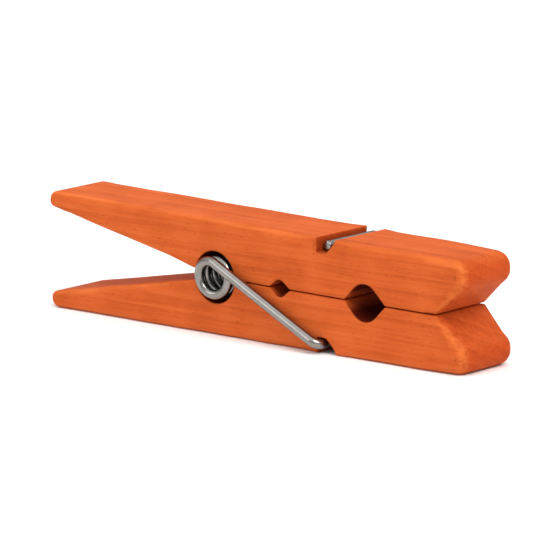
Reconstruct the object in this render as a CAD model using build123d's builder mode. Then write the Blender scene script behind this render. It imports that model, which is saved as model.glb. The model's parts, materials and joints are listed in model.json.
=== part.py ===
from build123d import *
from math import acos, atan, atan2, cos, degrees, hypot, pi, sin, sqrt, tan
import os

os.makedirs("parts", exist_ok=True)

# A spring clothespin: two wooden halves and one bent wire spring, in millimetres.
# Closed at rest, it lies on the outer face of its lower half: +X to the jaws, +Z up.
# "Along" is measured on the split line between the halves, from the coil axis, positive to the jaws.

# ---------------------------------------------------------------- wooden halves
jaw_length = 42.0            # coil axis to jaw end
handle_length = 30.0         # coil axis to handle end
width = 10.0                 # both halves, across
jaw_height = 14.6            # over both halves at the jaw end, closed
handle_height = 15.8         # over both halves at the handle end, closed
split_gap = 0.15             # between the two mating faces
tip_thickness = 2.1          # of one handle at its end
tip_outer_radius = 1.2
tip_inner_radius = 0.9
lip_thickness = 3.2          # of one jaw at its front face
mouth_depth = 4.8            # from the jaw end to where the halves meet
nose_radius = 2.0            # outer front corner of a jaw
lip_radius = 1.8             # corner between a jaw's front face and its bevel
edge_radius = 0.8            # long edges, all round each half but for the split line
split_edge_radius = 0.2      # long edges of the mating faces

# ---------------------------------------------------------------- grooves across the halves
line_groove_along = 25.6
line_groove_radius = 2.4     # at the bottom of the groove
line_groove_reach = 3.45     # half its width at the split line
small_groove_along = 11.2
small_groove_radius = 1.1
small_groove_reach = 1.8
notch_along = 17.6           # wall that the hook of the spring bears on
notch_ramp = 1.6             # length of the slope from the notch floor up to the outer face

# ---------------------------------------------------------------- spring
wire = 1.3                   # wire diameter
coil_bore = 3.2              # inside the coil
seat_clearance = 0.5         # coil to its round seat
side_clearance = 0.3         # arms to the side faces
notch_clearance = 0.1        # hook to the floor and walls of its notch
hook_recess = 0.6            # hook below the outer face
hook_setback = 1.2           # end of the hook to the far side face
bend_radius = 1.1            # centre line of the bend between arm and hook
lead_in = 0.5                # from the coil to the start of the straight arm
lead_in_radius = 4.0
turn_gap = 0.05              # least gap between two turns of the coil

# ---------------------------------------------------------------- worked out from the sizes above
length = jaw_length + handle_length
half_jaw = jaw_height / 2
half_handle = handle_height / 2
flare = atan((half_handle - half_jaw) / length)
half_at_coil = half_jaw + jaw_length * tan(flare)
coil_radius = coil_bore / 2 + wire / 2
seat_radius = coil_bore / 2 + wire + seat_clearance
notch_depth = wire + notch_clearance + hook_recess
notch_floor = wire + 2 * notch_clearance
arm_offset = width / 2 + side_clearance + wire / 2

# the split line passes through the coil axis and drops by the flare angle towards the jaws
coil_axis_x = handle_length - length / 2
coil_axis_z = half_at_coil * cos(flare)
split_plane = Plane(
    origin=(coil_axis_x, 0, coil_axis_z),
    x_dir=(cos(flare), 0, -sin(flare)),
    z_dir=(0, -1, 0),
)
mating_plane = Plane(split_plane.origin, x_dir=split_plane.x_dir, z_dir=split_plane.y_dir)


def half_height(along):
    """Distance from the split line to the outer face of a half."""
    return half_at_coil - along * tan(flare)


def groove_outline(along, radius, reach):
    """Corners of two facing grooves, their flanks tangent to the circle that rounds both bottoms."""
    height = radius * reach / sqrt(reach**2 - radius**2)
    return [(along - reach, 0), (along, -height), (along + reach, 0), (along, height)]


def on_split_line(edge):
    """Whether an edge lies on the mating face of the lower half."""
    return abs(split_plane.to_local_coords(edge.center()).Y + split_gap / 2) < 0.01


# ---------------------------------------------------------------- lower half
outline = [
    (-handle_length, -half_height(-handle_length)),
    (jaw_length, -half_height(jaw_length)),
    (jaw_length, lip_thickness - half_height(jaw_length)),
    (jaw_length - mouth_depth, -split_gap / 2),
    (0, -split_gap / 2),
    (-handle_length, tip_thickness - half_height(-handle_length)),
]
outline_radii = [tip_outer_radius, nose_radius, lip_radius, 0, 0, tip_inner_radius]
notch_outline = [
    (notch_along, -half_height(notch_along) + notch_depth),
    (notch_along + notch_floor, -half_height(notch_along) + notch_depth),
    (notch_along + notch_floor + notch_ramp, -half_height(notch_along)),
    (notch_along + notch_floor + notch_ramp, -half_height(notch_along) - notch_depth),
    (notch_along, -half_height(notch_along) - notch_depth),
]

with BuildPart() as lower_half:
    with BuildSketch(split_plane) as side_shape:
        with BuildLine():
            FilletPolyline(outline, radius=outline_radii, close=True)
        make_face()
    extrude(amount=width / 2, both=True)
    side_edges = lower_half.faces().filter_by(Axis.Y).edges()
    fillet(side_edges.filter_by(on_split_line, reverse=True), radius=edge_radius)
    side_edges = lower_half.faces().filter_by(Axis.Y).edges()
    fillet(side_edges.filter_by(on_split_line), radius=split_edge_radius)
    with BuildSketch(split_plane) as grooves:
        Circle(seat_radius)
        for along, radius, reach in (
            (small_groove_along, small_groove_radius, small_groove_reach),
            (line_groove_along, line_groove_radius, line_groove_reach),
        ):
            with BuildLine():
                FilletPolyline(groove_outline(along, radius, reach), radius=[0, radius, 0, radius], close=True)
            make_face()
        with BuildLine():
            Polyline(notch_outline, close=True)
        make_face()
    extrude(amount=width, both=True, mode=Mode.SUBTRACT)

lower_half.part.label = "lower_half"
export_step(lower_half.part, "parts/lower_half.step")

# ---------------------------------------------------------------- upper half, the same piece turned over
with BuildPart() as upper_half:
    mirror(lower_half.part, about=mating_plane)

upper_half.part.label = "upper_half"
export_step(upper_half.part, "parts/upper_half.step")

# ---------------------------------------------------------------- spring
# centre of the lower hook, seen from the side
hook_along = notch_along + notch_clearance + wire / 2
hook_height = -half_height(notch_along) + hook_recess + wire / 2
# the arm leaves the coil on the tangent that starts above the coil axis
hook_distance = hypot(hook_along, hook_height)
leave_angle = atan2(hook_height, hook_along) + acos(coil_radius / hook_distance)
part_turn = 1 - leave_angle / pi
whole_turns = int(2 * arm_offset / (wire + turn_gap) - part_turn)
turns = whole_turns + part_turn
# the two lead-ins take up the small sideways slope that the coil starts and ends with
pitch = arm_offset / (turns / 2 + lead_in / (2 * pi * coil_radius))
coil_half_length = pitch * turns / 2
coil_start = (coil_radius * cos(leave_angle), coil_radius * sin(leave_angle))
arm_start = (coil_start[0] + lead_in * sin(leave_angle), coil_start[1] - lead_in * cos(leave_angle))


def on_pin(along, across, above):
    """Point given by its place along, across and above the split line."""
    return split_plane.from_local_coords((along, above, -across))


coil_plane = Plane(
    origin=on_pin(0, -coil_half_length, 0),
    x_dir=on_pin(coil_start[0], 0, coil_start[1]) - on_pin(0, 0, 0),
    z_dir=(0, 1, 0),
)
coil = Helix(pitch, 2 * coil_half_length, coil_radius, lefthand=True).moved(coil_plane.location)
hook_end = width / 2 - hook_setback

with BuildPart() as spring:
    with BuildSketch(Plane(coil @ 0, z_dir=coil % 0)):
        Circle(wire / 2)
    sweep(path=coil, is_frenet=True)
    # the upper arm is the lower one turned half a turn about the split line
    for side in (1, -1):
        with BuildLine() as arm:
            FilletPolyline(
                on_pin(coil_start[0], -side * coil_half_length, side * coil_start[1]),
                on_pin(arm_start[0], -side * arm_offset, side * arm_start[1]),
                on_pin(hook_along, -side * arm_offset, side * hook_height),
                on_pin(hook_along, side * hook_end, side * hook_height),
                radius=[lead_in_radius, bend_radius],
            )
        with BuildSketch(Plane(arm.line @ 0, z_dir=arm.line % 0)):
            Circle(wire / 2)
        sweep(path=arm.line)

spring.part.label = "spring"
export_step(spring.part, "parts/spring.step")

# jaws open about the coil axis until the inner faces of the handles almost meet
handle_slope = atan((half_handle - tip_thickness - split_gap / 2) / handle_length)
print("turns", round(turns, 3), "pitch", round(pitch, 4), "opening until handles meet", degrees(2 * handle_slope))
print("coil axis", coil_axis_x, coil_axis_z, "flare", degrees(flare), "leave", degrees(leave_angle))
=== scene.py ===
import json
import math

import bmesh
import bpy
import numpy as np
from mathutils import Matrix, Vector


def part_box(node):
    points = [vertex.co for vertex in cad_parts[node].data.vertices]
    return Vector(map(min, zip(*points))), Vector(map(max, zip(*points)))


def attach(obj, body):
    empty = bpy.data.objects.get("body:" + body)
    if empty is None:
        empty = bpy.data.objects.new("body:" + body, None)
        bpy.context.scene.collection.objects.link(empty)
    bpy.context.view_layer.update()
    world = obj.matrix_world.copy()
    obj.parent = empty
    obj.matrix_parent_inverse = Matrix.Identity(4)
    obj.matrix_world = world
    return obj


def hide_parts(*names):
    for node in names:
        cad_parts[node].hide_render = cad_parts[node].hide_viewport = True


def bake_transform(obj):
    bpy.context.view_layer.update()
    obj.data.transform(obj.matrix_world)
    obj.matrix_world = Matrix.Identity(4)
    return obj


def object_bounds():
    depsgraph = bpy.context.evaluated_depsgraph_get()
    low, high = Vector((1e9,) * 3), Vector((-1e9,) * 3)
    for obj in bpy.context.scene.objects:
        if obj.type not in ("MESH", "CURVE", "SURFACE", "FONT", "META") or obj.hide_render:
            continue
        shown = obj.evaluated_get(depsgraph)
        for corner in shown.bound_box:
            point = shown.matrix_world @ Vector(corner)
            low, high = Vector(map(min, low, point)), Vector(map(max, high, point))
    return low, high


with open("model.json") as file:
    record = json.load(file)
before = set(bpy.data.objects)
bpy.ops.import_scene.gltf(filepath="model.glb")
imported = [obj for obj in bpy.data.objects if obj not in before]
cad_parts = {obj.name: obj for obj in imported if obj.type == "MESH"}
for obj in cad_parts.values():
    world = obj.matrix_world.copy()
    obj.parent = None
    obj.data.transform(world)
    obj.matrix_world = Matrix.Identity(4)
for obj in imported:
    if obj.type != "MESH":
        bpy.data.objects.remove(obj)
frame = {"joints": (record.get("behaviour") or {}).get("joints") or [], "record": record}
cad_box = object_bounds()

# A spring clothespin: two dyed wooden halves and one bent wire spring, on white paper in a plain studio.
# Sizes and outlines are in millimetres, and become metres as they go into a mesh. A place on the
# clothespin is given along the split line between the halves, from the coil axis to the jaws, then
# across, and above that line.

MM = 0.001

# ---------------------------------------------------------------- places that the frame gives
hinge = np.array(frame["joints"][0]["pos_m"]) / MM
line_mount = next(m for m in frame["record"]["mounts"] if m["name"] == "line_groove")
to_line_groove = np.array(line_mount["pos_m"]) / MM - hinge
line_groove_along = float(np.hypot(to_line_groove[0], to_line_groove[2]))
line_groove_radius = line_mount["dims"]["r_mm"]
along_dir = to_line_groove / line_groove_along
across_dir = np.array([0.0, 1.0, 0.0])
above_dir = np.array([-along_dir[2], 0.0, along_dir[0]])
flare = math.atan2(-along_dir[2], along_dir[0])
lower_low, lower_high = (np.array(c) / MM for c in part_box("lower_half"))
spring_high = np.array(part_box("spring")[1]) / MM
width = lower_high[1] - lower_low[1]
half_at_coil = hinge[2] / math.cos(flare)

# ---------------------------------------------------------------- sizes of the halves, as in the CAD part
jaw_length = 42.0            # coil axis to jaw end
handle_length = 30.0         # coil axis to handle end
split_gap = 0.15             # between the two mating faces
tip_thickness = 2.1          # of one handle at its end
tip_outer_radius = 1.2
tip_inner_radius = 0.9
lip_thickness = 3.2          # of one jaw at its front face
mouth_depth = 4.8            # from the jaw end to where the halves meet
nose_radius = 2.0            # outer front corner of a jaw
lip_radius = 1.8             # corner between a jaw's front face and its bevel
line_groove_reach = 3.45     # half its width at the split line
small_groove_along = 11.2
small_groove_radius = 1.1
small_groove_reach = 1.8
notch_along = 17.6           # wall that the hook of the spring bears on
notch_ramp = 1.6             # length of the slope from the notch floor up to the outer face

# ---------------------------------------------------------------- sizes of the spring, as in the CAD part
wire = 1.3                   # wire diameter
coil_bore = 3.2              # inside the coil
seat_clearance = 0.5         # coil to its round seat
notch_clearance = 0.1        # hook to the floor and walls of its notch
hook_recess = 0.6            # hook below the outer face
hook_setback = 1.2           # end of the hook to the far side face
bend_radius = 1.1            # middle line of the bend between arm and hook
lead_in = 0.5                # from the coil to the start of the straight arm
lead_in_radius = 4.0
turn_gap = 0.05              # least gap between two turns of the coil
arm_offset = spring_high[1] - wire / 2
coil_radius = coil_bore / 2 + wire / 2
seat_radius = coil_bore / 2 + wire + seat_clearance
notch_depth = wire + notch_clearance + hook_recess
notch_floor = wire + 2 * notch_clearance

# ---------------------------------------------------------------- how finely the wire is drawn
wire_sides = 28
wire_rings_per_turn = 56
arm_ring_step = 0.12
wire_dome = 0.22             # length over which a free end is rounded off
dome_rings = np.linspace(-wire_dome - 0.02, 0, 9)

# ---------------------------------------------------------------- how finely the wood is drawn
outline_step = 0.04          # between the points of an outline before it is thinned
tip_flat = 0.08              # flat run from a handle end's outer corner to where the outlines meet
front_flat = 0.15            # the same at the front of a jaw
turn_weight = 1.1            # length of straight run that gets as many stations as one radian of turn
face_columns = 12            # across an outer or inner face
edge_columns = 5             # round one long edge
side_columns = 10            # up a side face
joined_within = 2e-7         # metres between points that are taken as one
# Both outlines are cut at their marks along the wood, and a stretch has the same count of stations on
# both, so that the side face between them is joined nearly square to the wood.
outer_marks = (-26.5, -6.0, 5.0, 9.0, 13.6, 17.2, 21.9, 30.0, 35.0, 39.0)
inner_marks = (-26.5, -6.0, 5.0, 9.0, 13.4, 15.8, 21.8, 29.6, 35.0, 39.0)
station_counts = (30, 48, 76, 10, 38, 10, 50, 72, 16, 20, 44)

# ---------------------------------------------------------------- how tumbling has worn the wood
corner_softness = 0.11       # length over which every sharp corner of an outline is averaged
edge_radius = 0.85           # long outer edges, and the inner ones of the handles
split_edge_radius = 0.17     # along the split line, round the grooves and in the notch
jaw_edge_radius = 1.5        # the upright edges beside the front face of a jaw
tip_edge_radius = 0.7        # round the end of a handle
handle_edge_end = -9.0       # along the wood, where the inner edges of the handle start to tighten
split_edge_start = -4.0      # along the wood, where they have the radius of the split line
jaw_edge_reach = 7.0         # from the jaw end, where the radius starts to grow towards the jaw's own
jaw_edge_full = 1.5          # from the jaw end, where it has reached that
end_reach = 3.5              # how far along its outline an end reaches
edge_growth = 0.25           # how much a radius grows per length, away from what limits it
corner_share = 0.85          # the most that an edge's radius may be of the radius of the outline there
turn_reach = 0.06            # length over which the turn of an outline is averaged
hollow_turn = 0.1            # inward turn, in radians per length, of a groove or notch
limit_stride = 5             # every fifth point of an outline is enough to limit the radii near it
edge_variation = 0.10        # share by which the radius wanders
edge_waves = (5, 6.0, 20.0)  # how many waves it wanders by, the shortest and the longest
wander_fade = 4.0            # length over which the wandering fades towards an end
face_hollow = 0.02           # depth of the slow waves in the faces
hollow_waves = (7, 9.0, 30.0)
side_fade = 6                # power of the distance from the middle by which the side's waves fade away

# ---------------------------------------------------------------- painted shade in the grooves and the notch
groove_shade_depth = 1.2            # depth in a groove at which the painted shade is darkest
notch_shade_depth = 0.8             # the same in a notch
notch_shade = 0.45           # how dark the painted shade is there, where 1 is as dark as deep in a groove
mark_margin = 0.02           # how far past its corners a groove or a notch still counts

# ---------------------------------------------------------------- the studio, in metres, degrees and watts
floor_reach = 3.0
horizon_light = 0.45         # strength of the surroundings at the horizon
zenith_light = 1.05          # and overhead
zenith_height = 0.85         # upward share of the direction from which they are at their strongest
lamps = {                    # name: (place, size, power)
    "overhead": ((0.10, -0.12, 0.75), 0.7, 1.0),
    "front_left": ((-0.45, -0.75, 0.45), 0.6, 2.2),
    "front_right": ((0.60, -0.20, 0.72), 0.5, 5.4),
}
camera_azimuth = 42.4
camera_elevation = 11.4
camera_roll = -1.1
camera_distance = 0.65
camera_lens = 330.0          # millimetres
camera_near = 0.01


def half_height(along):
    """Distance from the split line to the outer face of a half, which spreads from the jaws to the
    handles: the distance at the coil less the place along the line times the tangent of the flare."""
    return half_at_coil - along * math.tan(flare)


def on_pin(along, across, above):
    """A place on the clothespin in the frame's millimetres: the hinge plus each distance times its
    direction. The arguments may be arrays."""
    along, across, above = np.broadcast_arrays(*(np.asarray(v, float) for v in (along, across, above)))
    return (hinge + along[..., None] * along_dir + across[..., None] * across_dir
            + above[..., None] * above_dir)


# ================================================================ shapes
def corner(before, at, after, radius, points=24):
    """Arc that rounds the corner `at`: it touches the run from `before` and the run to `after`, so its
    centre lies on their bisector, radius / sin(half angle) from the corner."""
    before, at, after = (np.array(p, float) for p in (before, at, after))
    u = (before - at) / np.linalg.norm(before - at)
    v = (after - at) / np.linalg.norm(after - at)
    half_angle = math.acos(float(np.clip(u @ v, -1, 1))) / 2
    bisector = (u + v) / np.linalg.norm(u + v)
    centre = at + bisector * radius / math.sin(half_angle)
    start = at + u * radius / math.tan(half_angle) - centre
    end = at + v * radius / math.tan(half_angle) - centre
    turn = math.pi - 2 * half_angle
    t = np.linspace(0, 1, points)[:, None]
    return centre + (start * np.sin((1 - t) * turn) + end * np.sin(t * turn)) / math.sin(turn)


def arc(centre, radius, start, end, points=60):
    """Points on a circle from the angle start to the angle end, each at centre + radius (cos, sin)."""
    angle = np.linspace(start, end, points)
    return np.array(centre) + radius * np.column_stack([np.cos(angle), np.sin(angle)])


def groove_arc(along, radius, reach):
    """A groove seen from the side: two straight flanks from the split line, reach to either side, both
    tangent to the arc round its bottom, which they leave at acos(radius / reach) from the split line."""
    touch = math.acos(radius / reach)
    half_opening = reach - split_gap / 2 * math.tan(touch)
    return np.vstack([
        [(along - half_opening, -split_gap / 2)],
        arc((along, 0), radius, math.pi + touch, 2 * math.pi - touch),
        [(along + half_opening, -split_gap / 2)],
    ])


def distances(path):
    """How far along a path each of its points is: the running sum of the steps between them."""
    return np.concatenate([[0], np.cumsum(np.linalg.norm(np.diff(path, axis=0), axis=1))])


def directions(path, *spacing):
    """Unit tangent at each point of a path: the slope of its coordinates, divided by its own length."""
    tangent = np.gradient(path, *spacing, axis=0)
    return tangent / np.linalg.norm(tangent, axis=1)[:, None]


def evenly_spaced(path, step):
    """The same path with its points a fixed step apart, each a straight share between its neighbours."""
    travelled = distances(path)
    keep = np.concatenate([[True], np.diff(travelled) > 1e-9])
    places = np.linspace(0, travelled[-1], int(travelled[-1] / step) + 1)
    return np.column_stack([np.interp(places, travelled[keep], path[keep, k]) for k in range(path.shape[1])])


def averaged(values, reach, step):
    """Each value averaged with its neighbours, weighted by exp(-(distance / reach)^2 / 2), a bell curve."""
    count = int(math.ceil(3 * reach / step))
    bell = np.exp(-0.5 * (np.arange(-count, count + 1) * step / reach) ** 2)
    bell /= bell.sum()
    padded = np.pad(values, ((count, count), (0, 0)), mode="reflect", reflect_type="odd")
    return np.column_stack([np.convolve(padded[:, k], bell, mode="valid") for k in range(values.shape[1])])


def waves(seed, count, shortest, longest, *coordinates):
    """Smooth wandering between about -1 and 1: a sum of sine waves, each with its own direction, length
    and start, all drawn from the seed, divided by the root of their count."""
    draw = np.random.default_rng(seed)
    total = 0.0
    for _ in range(count):
        direction = draw.normal(size=len(coordinates))
        direction /= np.linalg.norm(direction)
        length = draw.uniform(shortest, longest)
        phase = draw.uniform(0, 2 * math.pi)
        distance = sum(d * c for d, c in zip(direction, coordinates))
        total = total + np.sin(2 * math.pi * distance / length + phase)
    return total / math.sqrt(count)


def mesh_piece(name, points, faces, material):
    """A named object at the origin from points in millimetres and faces."""
    mesh = bpy.data.meshes.new(name)
    mesh.from_pydata((points * MM).tolist(), [], faces)
    piece = bpy.data.objects.new(name, mesh)
    bpy.context.scene.collection.objects.link(piece)
    mesh.materials.append(material)
    return piece


def store(piece, label, values):
    """Keeps one number for each point of a piece, for its material to read."""
    attribute = piece.data.attributes.new(label, "FLOAT", "POINT")
    attribute.data.foreach_set("value", values.reshape(-1).astype(np.float32))


def close_up(piece, rims=()):
    """Joins the doubled points of a piece, drops what collapsed, turns its faces outwards and shades them
    smooth, but for a sharp edge round each rim, given as a set of point numbers."""
    shape = bmesh.new()
    shape.from_mesh(piece.data)
    for edge in shape.edges:
        edge.smooth = not any(edge.verts[0].index in rim and edge.verts[1].index in rim for rim in rims)
    bmesh.ops.remove_doubles(shape, verts=shape.verts, dist=joined_within)
    bmesh.ops.dissolve_degenerate(shape, edges=shape.edges, dist=joined_within)
    bmesh.ops.recalc_face_normals(shape, faces=shape.faces)
    shape.to_mesh(piece.data)
    shape.free()
    piece.data.polygons.foreach_set("use_smooth", [True] * len(piece.data.polygons))
    piece.data.update()


def grid_faces(rows, columns):
    """Four-sided faces of a grid that is closed round its columns: each point with the next one in its
    row and the two below them, where point number = row * columns + column."""
    row = np.arange(rows - 1)[:, None] * columns
    column = np.arange(columns)[None, :]
    beside = (column + 1) % columns
    below = row + columns
    return np.stack([row + column, row + beside, below + beside, below + column], axis=-1).reshape(-1, 4)


# ---------------------------------------------------------------- the wooden halves
def half_outlines():
    """The outer and the inner outline of the lower half, seen from the side as (along, above). Both run
    from the middle of the handle's end to the middle of the jaw's front face."""
    tail_out = (-handle_length, -half_height(-handle_length))
    tail_in = (-handle_length, tip_thickness - half_height(-handle_length))
    tail_middle = (-handle_length, tail_out[1] + tip_outer_radius + tip_flat)
    nose = (jaw_length, -half_height(jaw_length))
    lip = (jaw_length, lip_thickness - half_height(jaw_length))
    front_middle = (jaw_length, nose[1] + nose_radius + front_flat)
    apex = (jaw_length - mouth_depth, -split_gap / 2)

    face = -half_height(notch_along)
    ramp_along = notch_along + notch_floor + notch_ramp
    ramp_end = (ramp_along, -half_height(ramp_along))
    outer = np.vstack([
        [tail_middle],
        corner(tail_middle, tail_out, (notch_along, face), tip_outer_radius),
        [(notch_along, face)],
        [(notch_along, face + notch_depth)],
        [(notch_along + notch_floor, face + notch_depth)],
        [ramp_end],
        corner(ramp_end, nose, front_middle, nose_radius),
        [front_middle],
    ])

    # the handle's inner face runs from the split line at the coil axis down to the tip
    slope = math.atan2(-split_gap / 2 - tail_in[1], handle_length)
    seat_left = math.pi + slope + math.asin(split_gap / 2 * math.cos(slope) / seat_radius)
    seat = arc((0, 0), seat_radius, seat_left, 2 * math.pi - math.asin(split_gap / 2 / seat_radius))
    inner = np.vstack([
        [tail_middle],
        corner(tail_middle, tail_in, seat[0], tip_inner_radius),
        seat,
        groove_arc(small_groove_along, small_groove_radius, small_groove_reach),
        groove_arc(line_groove_along, line_groove_radius, line_groove_reach),
        [apex],
        corner(apex, lip, front_middle, lip_radius),
        [front_middle],
    ])
    return outer, inner


def along_outline(outline, marks, inward_side):
    """Stations on an outline. It is made even and soft at its corners and cut where it passes each mark,
    and each stretch gets its count of stations, closer together where it turns. Gives the stations, the
    normals into the wood and the most that the wood's edge may be rounded there. That is corner_share of
    the outline's radius, which is 1 / turn per length, on an outward corner, split_edge_radius in a
    hollow, tip_edge_radius at an end, and it grows by edge_growth per length away from each of them."""
    path = averaged(evenly_spaced(outline, outline_step), corner_softness, outline_step)
    tangent = directions(path)
    normal = inward_side * np.column_stack([-tangent[:, 1], tangent[:, 0]])
    heading = np.unwrap(np.arctan2(tangent[:, 1], tangent[:, 0]))
    turn = inward_side * np.gradient(heading) / outline_step
    turn = averaged(turn[:, None], turn_reach, outline_step)[:, 0]
    tightest = corner_share / np.maximum(turn, corner_share / jaw_edge_radius)
    tightest = np.where(turn < -hollow_turn, np.minimum(tightest, split_edge_radius), tightest)
    places = np.arange(len(path)) * outline_step
    away = np.abs(places[:, None] - places[None, ::limit_stride])
    limit = (tightest[None, ::limit_stride] + edge_growth * away).min(axis=1)
    limit = np.minimum(limit, tip_edge_radius + edge_growth * np.maximum(places - end_reach, 0))

    turning = np.abs(np.gradient(heading))
    measure = np.concatenate([[0], np.cumsum(outline_step + turn_weight * turning[1:])])
    cuts = [0] + [int(np.argmax(path[:, 0] > mark)) for mark in marks] + [len(path) - 1]
    stretches = [
        np.linspace(measure[cuts[k]], measure[cuts[k + 1]], count, endpoint=False)
        for k, count in enumerate(station_counts)
    ]
    pick = np.interp(np.concatenate(stretches + [[measure[-1]]]), measure, np.arange(len(path)))

    def at_stations(values):
        return np.interp(pick, np.arange(len(path)), values)

    stations = np.column_stack([at_stations(path[:, k]) for k in range(2)])
    normals = np.column_stack([at_stations(normal[:, k]) for k in range(2)])
    return stations, normals / np.linalg.norm(normals, axis=1)[:, None], at_stations(limit)


def edge_sizes(stations, limit, seed, middle_radius):
    """Radius of one long edge at each station: edge_radius on the handle, middle_radius from the coil
    towards the jaw and jaw_edge_radius at the jaw's end, with a straight run from one to the next. It
    wanders by a share of itself, less near the ends, and is never more than the limit."""
    along, above = stations[:, 0], stations[:, 1]
    size = np.interp(
        along,
        (handle_edge_end, split_edge_start, jaw_length - jaw_edge_reach, jaw_length - jaw_edge_full),
        (edge_radius, middle_radius, middle_radius, jaw_edge_radius),
    )
    from_end = np.minimum(jaw_length - along, handle_length + along) - end_reach
    wander = edge_variation * waves(seed, *edge_waves, along, above)
    return np.minimum(limit, size * (1 + wander * np.clip(from_end / wander_fade, 0, 1)))


def face_rows(stations, normals, near, far):
    """Near edge, face and far edge of one outline, from the radii of its two edges. On an edge of radius
    r the outline moves in along its normal by r (1 - cos a) while it moves out to the side by r sin a.
    Gives the rows of places as (along, above, across), how worn each place is, by sin 2a and the radius,
    and for each row the share, cos a squared, by which it faces the way that the outline does."""
    quarter = np.linspace(0, math.pi / 2, edge_columns + 1)
    across_face = np.linspace(-1, 1, face_columns + 1)[1:-1]
    columns = [(-1, near, angle) for angle in quarter[::-1]]
    columns += [(share, near if share < 0 else far, 0.0) for share in across_face]
    columns += [(1, far, angle) for angle in quarter]
    rows, worn, facing = [], [], []
    for share, size, angle in columns:
        move_in = size * (1 - math.cos(angle))
        out = share * (width / 2 - size + size * math.sin(angle))
        rows.append(np.column_stack([stations + normals * move_in[:, None], out]))
        worn.append(math.sin(2 * angle) * np.clip(size / edge_radius, 0, 1))
        facing.append(math.cos(angle) ** 2)
    return rows, worn, np.array(facing)


def side_rows(start, end):
    """Rows over a side face, each a straight share between its start row and its end row."""
    return [start * (1 - share) + end * share for share in np.linspace(0, 1, side_columns + 1)[1:-1]]


def hollows(seed, first, second):
    """Depth of the slow waves in a face, between 0 and face_hollow, so they only go into the wood."""
    return face_hollow * (0.5 + 0.5 * np.clip(waves(seed, *hollow_waves, first, second), -1, 1))


def painted_shade_depths(outer, inner):
    """How much painted shade lies at the stations of both outlines: it grows with the depth below the face,
    up to 1 in a groove or the coil seat, and up to notch_shade in the notch."""
    shade_in_groove = np.zeros(len(inner))
    for groove_along, reach in ((0.0, seat_radius), (small_groove_along, small_groove_reach),
                                (line_groove_along, line_groove_reach)):
        inside = np.abs(inner[:, 0] - groove_along) < reach + mark_margin
        shade_in_groove = np.where(inside, np.clip((-inner[:, 1] - split_gap) / groove_shade_depth, 0, 1), shade_in_groove)
    ramp_along = notch_along + notch_floor + notch_ramp
    inside = (outer[:, 0] > notch_along - mark_margin) & (outer[:, 0] < ramp_along)
    depth = (outer[:, 1] + half_height(notch_along)) / notch_shade_depth
    return notch_shade * np.clip(depth, 0, 1) * inside, shade_in_groove


def wooden_half(name, turned_over, seed, material):
    """One half as a grid. Its first parameter runs along the wood from handle to jaw, between the outer
    and the inner outline. The second runs round the wood: across the outer face and its edges, up the
    side, across the inner face and its edges, and down the other side. The upper half is the same one,
    turned half a turn about the split line."""
    outer_outline, inner_outline = half_outlines()
    outer, outer_normal, outer_limit = along_outline(outer_outline, outer_marks, 1)
    inner, inner_normal, inner_limit = along_outline(inner_outline, inner_marks, -1)
    outer_edges = [edge_sizes(outer, outer_limit, seed + side, edge_radius) for side in (10, 11)]
    inner_edges = [edge_sizes(inner, inner_limit, seed + side, split_edge_radius) for side in (10, 11)]
    outer_rows, outer_worn, facing = face_rows(outer, outer_normal, *outer_edges)
    inner_rows, inner_worn, _ = face_rows(inner, inner_normal, *inner_edges)
    inner_rows, inner_worn = inner_rows[::-1], inner_worn[::-1]
    far_side = side_rows(outer_rows[-1], inner_rows[0])
    near_side = side_rows(inner_rows[-1], outer_rows[0])
    unworn = [np.zeros(len(outer))] * len(far_side)
    grid = np.stack(outer_rows + far_side + inner_rows + near_side, axis=1)
    worn = np.stack(outer_worn + unworn + inner_worn + unworn, axis=1)
    outer_columns = slice(0, len(outer_rows))
    inner_columns = slice(len(outer_rows) + len(far_side), len(outer_rows) + len(far_side) + len(inner_rows))

    # slow hollows, so that no face is dead flat
    along, above, across = grid[..., 0], grid[..., 1], grid[..., 2]
    near_the_side = (np.abs(across) / (width / 2)) ** side_fade
    across = across - np.sign(across) * hollows(seed + 1, along, above) * near_the_side
    face_hollows = hollows(seed + 2, along, across)
    into_wood = np.zeros(grid.shape[:2] + (2,))
    into_wood[:, outer_columns] = outer_normal[:, None, :]
    into_wood[:, inner_columns] = inner_normal[:, None, :]
    along = along + into_wood[..., 0] * face_hollows
    above = above + into_wood[..., 1] * face_hollows

    # both outlines end on the same line, so the outer points there serve for the inner and the side ones
    grid = np.stack([along, above, across], axis=-1)
    ends = [0, -1]
    grid[ends, inner_columns] = grid[ends, outer_columns][:, ::-1]
    grid[ends, outer_columns.stop:inner_columns.start] = grid[ends, outer_columns.stop - 1][:, None]
    grid[ends, inner_columns.stop:] = grid[ends, 0][:, None]

    turn = -1.0 if turned_over else 1.0
    points = on_pin(grid[..., 0], turn * grid[..., 2], turn * grid[..., 1])
    piece = mesh_piece(name, points.reshape(-1, 3), grid_faces(*grid.shape[:2]).tolist(), material)

    # how much of a cross cut each point is, and how much painted shade it gets in a groove or the notch, less
    # where an edge turns to the side
    cross_cut = np.zeros(grid.shape[:2])
    cross_cut[:, outer_columns] = np.abs(outer_normal[:, :1]) * facing
    cross_cut[:, inner_columns] = np.abs(inner_normal[:, :1]) * facing[::-1]
    shade_in_notch, shade_in_groove = painted_shade_depths(outer, inner)
    groove_shade = np.zeros(grid.shape[:2])
    groove_shade[:, outer_columns] = shade_in_notch[:, None] * facing
    groove_shade[:, inner_columns] = shade_in_groove[:, None] * facing[::-1]
    store(piece, "worn", worn)
    store(piece, "cross_cut", cross_cut)
    store(piece, "groove_shade", groove_shade)
    close_up(piece)
    return piece


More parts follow.
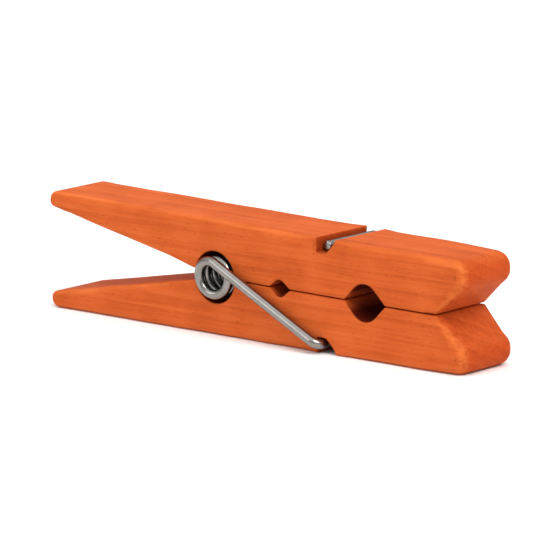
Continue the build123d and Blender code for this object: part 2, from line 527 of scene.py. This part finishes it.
# ---------------------------------------------------------------- the spring
def spring_path():
    """The middle line of the wire from hook to hook, a direction square to it at each point, and the two
    places where the coil starts and ends. The coil is a helix round the coil axis. Each arm leaves it on
    the tangent that ends in its notch, bends round the side face there and crosses the half as the hook.
    The upper arm is the lower one turned half a turn about the split line."""
    hook_along = notch_along + notch_clearance + wire / 2
    hook_above = -half_height(notch_along) + hook_recess + wire / 2
    leave = math.atan2(hook_above, hook_along) + math.acos(coil_radius / math.hypot(hook_along, hook_above))
    part_turn = 1 - leave / math.pi
    turns = int(2 * arm_offset / (wire + turn_gap) - part_turn) + part_turn
    pitch = arm_offset / (turns / 2 + lead_in / (2 * math.pi * coil_radius))
    half_coil = pitch * turns / 2
    start = coil_radius * np.array([math.cos(leave), math.sin(leave)])
    arm_start = start + lead_in * np.array([math.sin(leave), -math.cos(leave)])

    angle = leave + 2 * math.pi * turns * np.linspace(0, 1, int(wire_rings_per_turn * turns))
    outwards = np.cos(angle)[:, None] * along_dir + np.sin(angle)[:, None] * above_dir
    climb = np.linspace(-half_coil, half_coil, len(angle))
    coil = hinge + coil_radius * outwards + climb[:, None] * across_dir

    arms = []
    for side in (1, -1):
        stops = [
            on_pin(start[0], -side * half_coil, side * start[1]),
            on_pin(arm_start[0], -side * arm_offset, side * arm_start[1]),
            on_pin(hook_along, -side * arm_offset, side * hook_above),
            on_pin(hook_along, side * (width / 2 - hook_setback), side * hook_above),
        ]
        run = np.vstack([
            stops[:1],
            corner(*stops[:3], lead_in_radius, points=8),
            corner(*stops[1:], bend_radius, points=28),
            stops[3:],
        ])
        # the coil has the first ring already, and the last three make room for those of the domed end
        arm = evenly_spaced(run, arm_ring_step)[1:-3]
        free_end = stops[3] + (stops[3] - arm[-1]) / np.linalg.norm(stops[3] - arm[-1]) * dome_rings[:, None]
        arms.append(np.vstack([arm, free_end]))
    lower, upper = arms
    path = np.vstack([lower[::-1], coil, upper])
    square = np.vstack([
        np.tile(outwards[0], (len(lower), 1)),
        outwards,
        np.tile(outwards[-1], (len(upper), 1)),
    ])
    return path, square, len(lower), len(lower) + len(coil) - 1, half_coil


def wire_rings(path, square, travelled, circle):
    """A ring of the wire round each point of its path. It stands square to the path: its second axis is
    the given square direction with its share along the path taken out, and its first is square to both.
    Near a free end the radius falls off as a quarter ellipse."""
    tangent = directions(path, travelled)
    second = square - (square * tangent).sum(axis=1)[:, None] * tangent
    second /= np.linalg.norm(second, axis=1)[:, None]
    first = np.cross(second, tangent)
    from_end = np.clip(np.minimum(travelled, travelled[-1] - travelled) / wire_dome, 0, 1)
    radius = wire / 2 - wire_dome * (1 - np.sqrt(1 - (1 - from_end) ** 2))
    outwards = circle[:, 0, None] * first[:, None] + circle[:, 1, None] * second[:, None]
    return path[:, None] + radius[:, None, None] * outwards


def spring_pieces(material):
    """The wire as a tube, cut in three where the coil starts and ends. Both ends of each piece are closed
    with a disc round a middle point. Every point keeps its length along the wire and its (cos, sin) round
    it."""
    path, square, coil_start, coil_end, half_coil = spring_path()
    last = len(path) - 1
    travelled = distances(path)
    angle = np.linspace(0, 2 * math.pi, wire_sides, endpoint=False)
    circle = np.column_stack([np.cos(angle), np.sin(angle), np.zeros(wire_sides)])
    rings = wire_rings(path, square, travelled, circle)
    side = np.arange(wire_sides)
    beside = (side + 1) % wire_sides
    pieces = []
    for name, begin, end in (("spring_lower_arm", 0, coil_start), ("spring_coil", coil_start, coil_end),
                             ("spring_upper_arm", coil_end, last)):
        count = end - begin + 1
        points = np.vstack([rings[begin:end + 1].reshape(-1, 3), path[[begin, end]]])
        last_ring = (count - 1) * wire_sides
        middle = count * wire_sides
        caps = np.vstack([
            np.column_stack([beside, side, np.full(wire_sides, middle)]),
            np.column_stack([last_ring + side, last_ring + beside, np.full(wire_sides, middle + 1)]),
        ])
        piece = mesh_piece(name, points, grid_faces(count, wire_sides).tolist() + caps.tolist(), material)
        lengths = np.append(np.repeat(travelled[begin:end + 1], wire_sides), travelled[[begin, end]])
        store(piece, "wire_length", lengths)
        rounds = np.vstack([np.tile(circle, (count, 1)), np.zeros((2, 3))])
        attribute = piece.data.attributes.new("wire_round", "FLOAT_VECTOR", "POINT")
        attribute.data.foreach_set("vector", rounds.astype(np.float32).reshape(-1))
        cut_rings = ([0] if begin else []) + ([last_ring] if end < last else [])
        close_up(piece, rims=[set(range(ring, ring + wire_sides)) for ring in cut_rings])
        pieces.append(piece)
    return pieces, half_coil


# ================================================================ materials
# The Mix node's sockets for colours share their names with its others, so they are known by number.
mix_first = 6
mix_second = 7
mix_result = 2
wave_spacing = 0.314         # between the bands of a wave texture at scale 1


def linear(hex_colour):
    """An sRGB hex colour as the linear red, green, blue and alpha that the shader takes."""
    parts = [int(hex_colour[k:k + 2], 16) / 255 for k in (0, 2, 4)]
    return tuple(c / 12.92 if c <= 0.04045 else ((c + 0.055) / 1.055) ** 2.4 for c in parts) + (1.0,)


def add(tree, kind, inputs=None, **settings):
    """Adds a node with its settings. An input is a value, or another node's output to link from."""
    made = tree.nodes.new(kind)
    for name, value in settings.items():
        setattr(made, name, value)
    for name, value in (inputs or {}).items():
        if isinstance(value, bpy.types.NodeSocket):
            tree.links.new(value, made.inputs[name])
        else:
            made.inputs[name].default_value = value
    return made


def new_material(name):
    """An empty material. Gives the material and its node tree."""
    material = bpy.data.materials.new(name)
    material.use_nodes = True
    material.node_tree.nodes.clear()
    return material, material.node_tree


def finish_material(tree, shader):
    """Links the shader to the material's output."""
    output = add(tree, "ShaderNodeOutputMaterial")
    tree.links.new(shader.outputs["BSDF"], output.inputs["Surface"])


def dyed_beech():
    """Beech, milled, dyed orange in a tumbler and rubbed to a satin. The dye leaves the fibres and the
    short ray flecks to show as darker strokes along the wood and sits darker on cross-cut faces, which is
    deepened as painted shade on the bevels in the jaw's mouth. The grooves, the coil seat and the notch get
    painted shade, and the dye is thinner where tumbling has worn the edges."""
    ring_spacing = 1.7
    material, tree = new_material("dyed_beech")
    place = add(tree, "ShaderNodeTexCoord").outputs["Object"]
    in_mm = add(tree, "ShaderNodeVectorMath", {0: place, 1: (1 / MM,) * 3}, operation="MULTIPLY").outputs[0]
    cross_cut = add(tree, "ShaderNodeAttribute", attribute_name="cross_cut").outputs["Fac"]
    groove_shade = add(tree, "ShaderNodeAttribute", attribute_name="groove_shade").outputs["Fac"]
    worn = add(tree, "ShaderNodeAttribute", attribute_name="worn").outputs["Fac"]

    # growth rings, bent slowly along the wood
    ring_place = add(tree, "ShaderNodeMapping", {"Vector": in_mm, "Rotation": (0.45, 0.012, 0.05),
                                                 "Scale": (0.05, 1.0, 1.0)}).outputs[0]
    rings = add(tree, "ShaderNodeTexWave", {"Vector": ring_place, "Scale": wave_spacing / ring_spacing,
                                            "Distortion": 1.6, "Detail": 2.0, "Detail Scale": 0.6},
                wave_type="BANDS", bands_direction="Z", wave_profile="SAW").outputs["Fac"]
    # fibres about 0.3 mm wide and some 8 mm long
    fibre_place = add(tree, "ShaderNodeMapping", {"Vector": in_mm, "Rotation": (0, 0.02, 0.03),
                                                  "Scale": (0.07, 1.9, 1.9)}).outputs[0]
    fibres = add(tree, "ShaderNodeTexNoise", {"Vector": fibre_place, "Scale": 1.0, "Detail": 4.0,
                                              "Roughness": 0.62}).outputs["Fac"]
    # ray flecks about 1.5 mm long and 0.2 mm wide
    fleck_place = add(tree, "ShaderNodeMapping", {"Vector": in_mm, "Scale": (0.62, 2.3, 2.3)}).outputs[0]
    fleck_far = add(tree, "ShaderNodeTexVoronoi", {"Vector": fleck_place, "Scale": 1.0}).outputs["Distance"]
    flecks = add(tree, "ShaderNodeMapRange", {"Value": fleck_far, "From Min": 0.10, "From Max": 0.24,
                                              "To Min": 1.0, "To Max": 0.0}).outputs[0]
    # slow clouds where the dye took differently
    clouds = add(tree, "ShaderNodeTexNoise", {"Vector": in_mm, "Scale": 0.16, "Detail": 3.0}).outputs["Fac"]

    # each pattern adds its share to the tone, from the darkest dye to the lightest
    tone = -0.12
    for pattern, share in ((fibres, 0.62), (clouds, 0.55), (rings, -0.13)):
        tone = add(tree, "ShaderNodeMath", {0: pattern, 1: share, 2: tone},
                   operation="MULTIPLY_ADD").outputs[0]
    ramp = add(tree, "ShaderNodeValToRGB", {"Fac": tone})
    dark, light = ramp.color_ramp.elements
    dark.position = 0.16
    dark.color = linear("AC481B")
    light.position = 0.78
    light.color = linear("D16A38")
    middle = ramp.color_ramp.elements.new(0.44)
    middle.color = linear("C55A26")

    # flecks and cross-cut faces each multiply the colour by a dye of their own, the cross-cut one deepened as
    # painted shade on the jaw's bevels; grooves and the notch multiply it by a near-black brown as painted
    # shade;
    # then worn edges go paler
    fleck_amount = add(tree, "ShaderNodeMath", {0: flecks, 1: 0.30}, operation="MULTIPLY").outputs[0]
    # end grain takes the dye darker, and this darkening is deepened to paint the shade on the jaw's bevels
    end_grain_and_shade_amount = add(tree, "ShaderNodeMapRange", {"Value": cross_cut, "From Min": 0.35, "From Max": 1.0,
                                                  "To Min": 0.0, "To Max": 0.50}).outputs[0]
    # painted shade: the grooves, the coil seat and the notch go near-black brown, as if in shadow
    groove_shade_amount = add(tree, "ShaderNodeMath", {0: groove_shade, 1: 0.95}, operation="MULTIPLY").outputs[0]
    colour = ramp.outputs["Color"]
    for amount, dye in ((fleck_amount, "C8703C"), (end_grain_and_shade_amount, "D9905E"), (groove_shade_amount, "5C1400")):
        colour = add(tree, "ShaderNodeMix", {"Factor": amount, mix_first: colour, mix_second: linear(dye)},
                     data_type="RGBA", blend_type="MULTIPLY").outputs[mix_result]
    worn_here = add(tree, "ShaderNodeMath", {0: worn, 1: fibres}, operation="MULTIPLY").outputs[0]
    worn_amount = add(tree, "ShaderNodeMapRange", {"Value": worn_here, "From Min": 0.20, "From Max": 0.80,
                                                   "To Min": 0.0, "To Max": 0.35}).outputs[0]
    colour = add(tree, "ShaderNodeMix", {"Factor": worn_amount, mix_first: colour,
                                         mix_second: linear("E68A48")},
                 data_type="RGBA").outputs[mix_result]

    # the fibres stand proud by a few hundredths of a millimetre, and they and the grooves are rougher
    grain = add(tree, "ShaderNodeTexNoise", {"Vector": fibre_place, "Scale": 2.6, "Detail": 5.0,
                                             "Roughness": 0.6}).outputs["Fac"]
    height = add(tree, "ShaderNodeMath", {0: flecks, 1: -0.5, 2: grain}, operation="MULTIPLY_ADD").outputs[0]
    bump = add(tree, "ShaderNodeBump", {"Height": height, "Strength": 0.55, "Distance": 0.06 * MM}).outputs[0]
    rough = 0.55
    for pattern, share in ((fibres, 0.20), (groove_shade, 0.35)):
        rough = add(tree, "ShaderNodeMath", {0: pattern, 1: share, 2: rough},
                    operation="MULTIPLY_ADD").outputs[0]
    shader = add(tree, "ShaderNodeBsdfPrincipled", {"Base Color": colour, "Roughness": rough, "IOR": 1.48,
                                                    "Normal": bump, "Specular IOR Level": 0.07})
    finish_material(tree, shader)
    return material


def plated_spring_wire():
    """Spring steel wire, drawn and bright zinc plated: a clear metal gloss broken by faint draw marks
    along the wire and by a little dulling where it was bent and handled."""
    material, tree = new_material("plated_spring_wire")
    length = add(tree, "ShaderNodeAttribute", attribute_name="wire_length").outputs["Fac"]
    circle = add(tree, "ShaderNodeAttribute", attribute_name="wire_round").outputs["Vector"]
    parts = add(tree, "ShaderNodeSeparateXYZ", {"Vector": circle})
    # the length counts for little, which draws the marks out along the wire
    slow = add(tree, "ShaderNodeMath", {0: length, 1: 0.12}, operation="MULTIPLY").outputs[0]
    mark_place = add(tree, "ShaderNodeCombineXYZ", {"X": slow, "Y": parts.outputs["X"],
                                                    "Z": parts.outputs["Y"]}).outputs[0]
    marks = add(tree, "ShaderNodeTexNoise", {"Vector": mark_place, "Scale": 7.0, "Detail": 5.0,
                                             "Roughness": 0.6}).outputs["Fac"]
    # dull patches about 2 mm across
    place = add(tree, "ShaderNodeTexCoord").outputs["Object"]
    dulled = add(tree, "ShaderNodeTexNoise", {"Vector": place, "Scale": 0.42 / MM,
                                              "Detail": 3.0}).outputs["Fac"]
    colour = add(tree, "ShaderNodeMix", {"Factor": dulled, mix_first: linear("787571"),
                                         mix_second: linear("9C9995")},
                 data_type="RGBA").outputs[mix_result]
    rough = 0.11
    for pattern, share in ((marks, 0.14), (dulled, 0.12)):
        rough = add(tree, "ShaderNodeMath", {0: pattern, 1: share, 2: rough},
                    operation="MULTIPLY_ADD").outputs[0]
    bump = add(tree, "ShaderNodeBump", {"Height": marks, "Strength": 0.35, "Distance": 0.02 * MM}).outputs[0]
    shader = add(tree, "ShaderNodeBsdfPrincipled", {"Base Color": colour, "Metallic": 1.0, "Roughness": rough,
                                                    "Normal": bump})
    finish_material(tree, shader)
    return material


def white_paper():
    """Smooth white paper for the clothespin to lie on, with a faint tooth about 1 mm across."""
    material, tree = new_material("white_paper")
    place = add(tree, "ShaderNodeTexCoord").outputs["Object"]
    tooth = add(tree, "ShaderNodeTexNoise", {"Vector": place, "Scale": 0.9 / MM,
                                             "Detail": 2.0}).outputs["Fac"]
    bump = add(tree, "ShaderNodeBump", {"Height": tooth, "Strength": 0.05, "Distance": 0.05 * MM}).outputs[0]
    shader = add(tree, "ShaderNodeBsdfPrincipled", {"Base Color": linear("F4F3F2"), "Roughness": 0.7,
                                                    "Normal": bump})
    finish_material(tree, shader)
    return material


# ================================================================ the clothespin
wood = dyed_beech()
steel = plated_spring_wire()

for name, turned_over, seed, body in (("lower_wood", False, 40, "lower"), ("upper_wood", True, 80, "upper")):
    half = wooden_half(name, turned_over, seed, wood)
    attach(half, body)
    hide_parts("upper_half" if turned_over else "lower_half")

(lower_arm, coil, upper_arm), half_coil = spring_pieces(steel)
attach(lower_arm, "lower")
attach(upper_arm, "upper")
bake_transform(coil)
for piece in (lower_arm, coil, upper_arm):
    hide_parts("spring")


# ================================================================ the studio
def paper_floor():
    """A square sheet of white paper under the clothespin, at height zero."""
    corners = [(-floor_reach, -floor_reach, 0), (floor_reach, -floor_reach, 0),
               (floor_reach, floor_reach, 0), (-floor_reach, floor_reach, 0)]
    mesh = bpy.data.meshes.new("floor")
    mesh.from_pydata(corners, [], [(0, 1, 2, 3)])
    mesh.materials.append(white_paper())
    floor = bpy.data.objects.new("floor", mesh)
    bpy.context.scene.collection.objects.link(floor)
    return floor


def studio_world():
    """White overhead, falling off to a dim room at the horizon, which is what the wire mirrors. The
    camera itself sees plain white."""
    world = bpy.data.worlds.new("studio")
    world.use_nodes = True
    tree = world.node_tree
    tree.nodes.clear()
    direction = add(tree, "ShaderNodeTexCoord").outputs["Generated"]
    upward = add(tree, "ShaderNodeSeparateXYZ", {"Vector": direction}).outputs["Z"]
    light = add(tree, "ShaderNodeMapRange", {"Value": upward, "From Min": 0.0, "From Max": zenith_height,
                                             "To Min": horizon_light, "To Max": zenith_light}).outputs[0]
    seen = add(tree, "ShaderNodeLightPath").outputs["Is Camera Ray"]
    strength = add(tree, "ShaderNodeMix", {"Factor": seen, "A": light, "B": 1.0}).outputs[0]
    background = add(tree, "ShaderNodeBackground", {"Color": linear("FFFFFF"), "Strength": strength})
    output = add(tree, "ShaderNodeOutputWorld")
    tree.links.new(background.outputs["Background"], output.inputs["Surface"])
    bpy.context.scene.world = world


def soft_lamp(name, place, size, power):
    """A square soft light at place, turned to the clothespin."""
    lamp = bpy.data.lights.new(name, "AREA")
    lamp.shape = "SQUARE"
    lamp.size = size
    lamp.energy = power
    light = bpy.data.objects.new(name, lamp)
    light.location = place
    light.rotation_euler = (-Vector(place)).to_track_quat("-Z", "Y").to_euler()
    bpy.context.scene.collection.objects.link(light)


def studio_camera():
    """The camera, aimed at the middle of the clothespin from its azimuth, which counts from straight in
    front to the right, and its elevation, then rolled about its own axis."""
    azimuth, elevation = math.radians(camera_azimuth), math.radians(camera_elevation)
    away = Vector((math.sin(azimuth) * math.cos(elevation), -math.cos(azimuth) * math.cos(elevation),
                   math.sin(elevation)))
    camera_data = bpy.data.cameras.new("camera")
    camera_data.lens = camera_lens
    camera_data.clip_start = camera_near
    camera = bpy.data.objects.new("camera", camera_data)
    camera.location = (cad_box[0] + cad_box[1]) / 2 + away * camera_distance
    upright = away.to_track_quat("Z", "Y").to_matrix()
    camera.rotation_euler = (upright @ Matrix.Rotation(math.radians(camera_roll), 3, "Z")).to_euler()
    bpy.context.scene.collection.objects.link(camera)
    bpy.context.scene.camera = camera


floor = paper_floor()
studio_world()
for name, (place, size, power) in lamps.items():
    soft_lamp(name, place, size, power)
studio_camera()
bpy.context.scene.view_settings.view_transform = "Standard"
